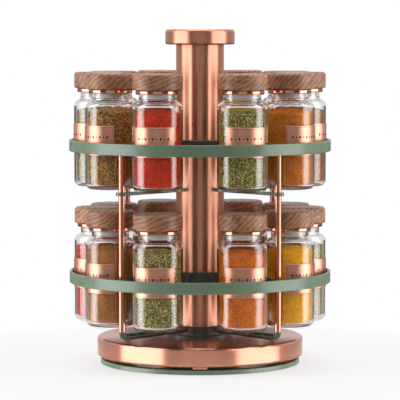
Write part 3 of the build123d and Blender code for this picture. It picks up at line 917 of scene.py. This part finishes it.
class CAROUSEL_OT_lids(bpy.types.Operator):
    """Turn the walnut lids, their copper bands and stoppers"""

    bl_idname = "carousel.lids"
    bl_label = "Walnut lids"

    def execute(self, context):
        colours = context.scene.carousel_colours
        sizes = context.scene.carousel_sizes
        walnut = turned_walnut("turned walnut", tuple(colours.walnut_light), tuple(colours.walnut_dark))
        mirror = copper_finishes()["mirror copper"]
        silicone = soft_material("stopper silicone", (0.78, 0.76, 0.72), 0.5)
        r, z0, z1 = sizes.lid_radius, sizes.lid_bottom, sizes.lid_bottom + sizes.lid_height
        cap = rounded(
            [(0, z0), (r, z0), (r, z1), (r * 0.55, z1), (0, z1 - 0.25 * MM)],
            [1.3 * MM, 2.6 * MM, 6 * MM], math.radians(9),
        )
        b, low = sizes.band_radius, sizes.lid_bottom - sizes.band_height
        bore, gap = sizes.neck_radius + 0.3 * MM, 0.05 * MM
        band = rounded(
            [(bore, low), (b, low), (b, z0 - 0.6 * MM), (b - 0.8 * MM, z0 - gap), (bore, z0 - gap)],
            [1.0 * MM, 0.7 * MM, 0.1 * MM],
        )
        plug_radius = sizes.neck_radius - sizes.neck_wall - 0.3 * MM
        waist = plug_radius - 0.6 * MM
        tip = sizes.lid_bottom - sizes.stopper_length
        plug = [(0, tip), (plug_radius - 0.8 * MM, tip)]
        for k in range(3):
            z = tip + (1.2 + 2.2 * k) * MM
            plug += [(waist, z - 0.7 * MM), (plug_radius, z), (waist, z + 0.7 * MM)]
        plug += [(waist, z0 - gap), (0, z0 - gap)]
        plug = [Vector(p) for p in plug]
        for seed, jar in enumerate(JAR_NODES):
            node = jar.replace("_jar_", "_lid_")
            body, centre = f"{node}_body", stand_of(jar)
            turned_piece(f"{node}_walnut", cap, walnut, body, (node,), centre, 80, 40 + seed)
            turned_piece(f"{node}_band", band, mirror, body, (node,), centre, 80)
            turned_piece(f"{node}_stopper", plug, silicone, body, (node,), centre, 64)
        return {"FINISHED"}


class CAROUSEL_OT_stage(bpy.types.Operator):
    """Set up the floor, the tall soft boxes, the panels, the room light and the camera"""

    bl_idname = "carousel.stage"
    bl_label = "Stage"

    def execute(self, context):
        self.floor()
        self.room()
        for side in (-1, 1):
            self.soft_box(side)
        self.front_panels()
        self.overhead()
        self.camera()
        bpy.context.scene.view_settings.view_transform = "Standard"
        return {"FINISHED"}

    def floor(self):
        """A pale paper floor: bright to look at, dimmer in reflections further out."""
        finish = Finish("paper floor")
        mottle = finish.noise(finish.place(), 40.0)
        x, y, z = finish.parts(finish.place())
        reach = (x * x + y * y) ** 0.5
        dimming = finish.span(reach, 0.13, 0.34)
        near = finish.mix(mottle, (0.90, 0.90, 0.90), (0.93, 0.93, 0.93))
        shader = finish.surface(
            Base_Color=finish.mix(dimming, near, (0.20, 0.20, 0.20)),
            Roughness=0.7,
            Specular_IOR_Level=0.15,
            Normal=finish.bump(mottle, 0.02, 0.1),
        )
        glow = finish.node("ShaderNodeEmission", None, {"Color": (1.0, 1.0, 1.0), "Strength": 1.0})
        seen = finish.ray("Camera") + finish.ray("Transmission") * finish.span(y, 0.0, 0.3, 0.0, 0.9)
        far = finish.span(reach, 0.095, 0.32, 0.66, 1.0) * seen
        shader = finish.mix_shader(far, shader, glow)
        mesh = bpy.data.meshes.new("floor")
        rings = [0.0, 0.2, 0.6, 2.0, 12.0]
        vertices, faces = lathe([Vector((r, 0.0)) for r in rings], (0, 0, 0), 64)
        mesh.from_pydata([tuple(v) for v in vertices], [], faces)
        mesh.materials.append(finish.output(shader))
        floor = bpy.data.objects.new("floor", mesh)
        bpy.context.scene.collection.objects.link(floor)
        floor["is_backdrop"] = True

    def room(self):
        """White to look at; as light, grey on the camera's side and pale behind the carousel."""
        room = Finish("studio", bpy.data.worlds)
        x, y, z = room.parts(room.node("ShaderNodeTexCoord", None, None, out="Generated"))
        brightness = room.span(y, -0.45, 0.45, 0.13, 0.90)
        light = room.node("ShaderNodeBackground", None, {"Strength": brightness})
        backdrop = room.node("ShaderNodeBackground", None, {"Color": (1.0, 1.0, 1.0), "Strength": 1.0})
        seen = room.ray("Camera") + room.ray("Transmission") * room.span(y, 0.1, 0.5, 0.0, 0.85)
        shader = room.mix_shader(seen, light, backdrop)
        bpy.context.scene.world = room.output(shader, "ShaderNodeOutputWorld")

    def area(self, name, width, height, radiance, place, target):
        """A flat lamp of this radiance, turned to its target and not seen by the camera."""
        data = bpy.data.lights.new(name, "AREA")
        data.shape = "RECTANGLE"
        data.size, data.size_y = width, height
        data.energy = radiance * math.pi * width * height
        lamp = bpy.data.objects.new(name, data)
        bpy.context.scene.collection.objects.link(lamp)
        lamp.location = place
        lamp.rotation_euler = (Vector(target) - Vector(place)).to_track_quat("-Z", "Y").to_euler()
        lamp.visible_camera = False
        return lamp

    def soft_box(self, side):
        """A tall soft box beside the carousel, and its twins for the turned copper and the glass."""
        turned = ["column_tube", "cap", "base_disc"]
        glass = self.pieces_ending("_glass")
        dim = 1.0 if side < 0 else 0.88
        copper_only = self.group("turned copper", turned, True)
        others = self.group("neither copper nor glass", turned + glass, False)
        glass_only = self.group("glass", glass, True)
        above_floor = self.above_floor()
        self.link(self.tall_lamp("general", side, 76, 1.05, 3.0 * dim), others, above_floor)
        self.link(self.tall_lamp("copper", side, 68, 1.35, 2.3 * dim), copper_only, copper_only)
        self.link(self.tall_lamp("glass", side, 73, 0.60, 6.0 * dim), glass_only, above_floor)

    def tall_lamp(self, use, side, azimuth, width, radiance):
        """One tall lamp, so many degrees round from the front."""
        distance, height, middle = 1.3, 2.2, 0.60
        turn = math.radians(azimuth)
        place = (side * distance * math.sin(turn), -distance * math.cos(turn), middle)
        name = f"soft_box_{'left' if side < 0 else 'right'}_{use}"
        return self.area(name, width, height, radiance, place, (0, 0, middle))

    def front_panels(self):
        """Two panels behind the viewer: a dim one that only copper catches, and one for the spice."""
        copper = ("column_tube", "cap", "base_disc", "upright_rods", "_label", "_band")
        panel = self.area("front_panel", 2.4, 1.8, 0.38, (0, -2.9, 0.75), (0, 0, 0.15))
        self.link(panel, self.group("copper", self.pieces_ending(*copper), True))
        warm = self.area("spice_panel", 1.2, 1.2, 2.6, (0, -2.1, 1.0), (0, 0, 0.15))
        spices = self.group("spices", self.pieces_ending("_heap", "_flakes", "_seeds"), True)
        self.link(warm, spices, self.above_floor())

    def pieces_ending(self, *endings):
        """Names of the pieces and nodes with these endings."""
        return [piece.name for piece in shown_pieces() if piece.name.endswith(endings)]

    def above_floor(self):
        """Everything but the floor, so that lamps reach below it in reflections."""
        return self.group("all but the floor", ["floor"], False)

    def link(self, lamp, lit, blockers=None):
        """Say what a lamp lights and, where it matters, what casts shadows from it."""
        lamp.light_linking.receiver_collection = lit
        if blockers is not None:
            lamp.light_linking.blocker_collection = blockers

    def group(self, name, members, included):
        """A set of pieces that a lamp lights, or leaves out."""
        if name in bpy.data.collections:
            return bpy.data.collections[name]
        group = bpy.data.collections.new(name)
        for member in members:
            group.objects.link(bpy.data.objects[member])
        for held in group.collection_objects:
            held.light_linking.link_state = "INCLUDE" if included else "EXCLUDE"
        return group

    def overhead(self):
        """A square soft box above."""
        self.area("overhead", 1.4, 1.4, 2.2, (0, 0.1, 1.9), (0, 0, 0))

    def camera(self):
        """A long lens a little above the middle of the carousel."""
        distance, elevation, aim = 2.3, math.radians(4.07), 149.9 * MM
        data = bpy.data.cameras.new("camera")
        data.sensor_width = 36.0
        data.lens = 225.0
        data.clip_end = 60.0
        camera = bpy.data.objects.new("camera", data)
        bpy.context.scene.collection.objects.link(camera)
        camera.location = (0, -distance * math.cos(elevation), aim + distance * math.sin(elevation))
        way = Vector((0, 0, aim)) - camera.location
        camera.rotation_euler = way.to_track_quat("-Z", "Y").to_euler()
        bpy.context.scene.camera = camera


class CAROUSEL_PT_panel(bpy.types.Panel):
    """Sidebar panel that lists the sizes, colours and steps"""

    bl_idname = "CAROUSEL_PT_panel"
    bl_label = "Spice Carousel"
    bl_space_type = "VIEW_3D"
    bl_region_type = "UI"
    bl_category = "Carousel"

    def draw(self, context):
        for group in (context.scene.carousel_sizes, context.scene.carousel_colours):
            for name in group.bl_rna.properties.keys():
                if name not in ("rna_type", "name"):
                    self.layout.prop(group, name)
        for step in STEPS:
            self.layout.operator(step.bl_idname)


STEPS = (
    CAROUSEL_OT_turntable,
    CAROUSEL_OT_column,
    CAROUSEL_OT_green_frame,
    CAROUSEL_OT_uprights,
    CAROUSEL_OT_shelves,
    CAROUSEL_OT_jars,
    CAROUSEL_OT_spices,
    CAROUSEL_OT_labels,
    CAROUSEL_OT_lids,
    CAROUSEL_OT_stage,
)
CLASSES = (CarouselSizes, CarouselColours, *STEPS, CAROUSEL_PT_panel)


def register():
    for cls in CLASSES:
        bpy.utils.register_class(cls)
    bpy.types.Scene.carousel_sizes = bpy.props.PointerProperty(type=CarouselSizes)
    bpy.types.Scene.carousel_colours = bpy.props.PointerProperty(type=CarouselColours)


def unregister():
    del bpy.types.Scene.carousel_sizes
    del bpy.types.Scene.carousel_colours
    for cls in reversed(CLASSES):
        bpy.utils.unregister_class(cls)


def main():
    register()
    for step in STEPS:
        group, name = step.bl_idname.split(".")
        getattr(getattr(bpy.ops, group), name)()


if __name__ == "__main__":
    main()
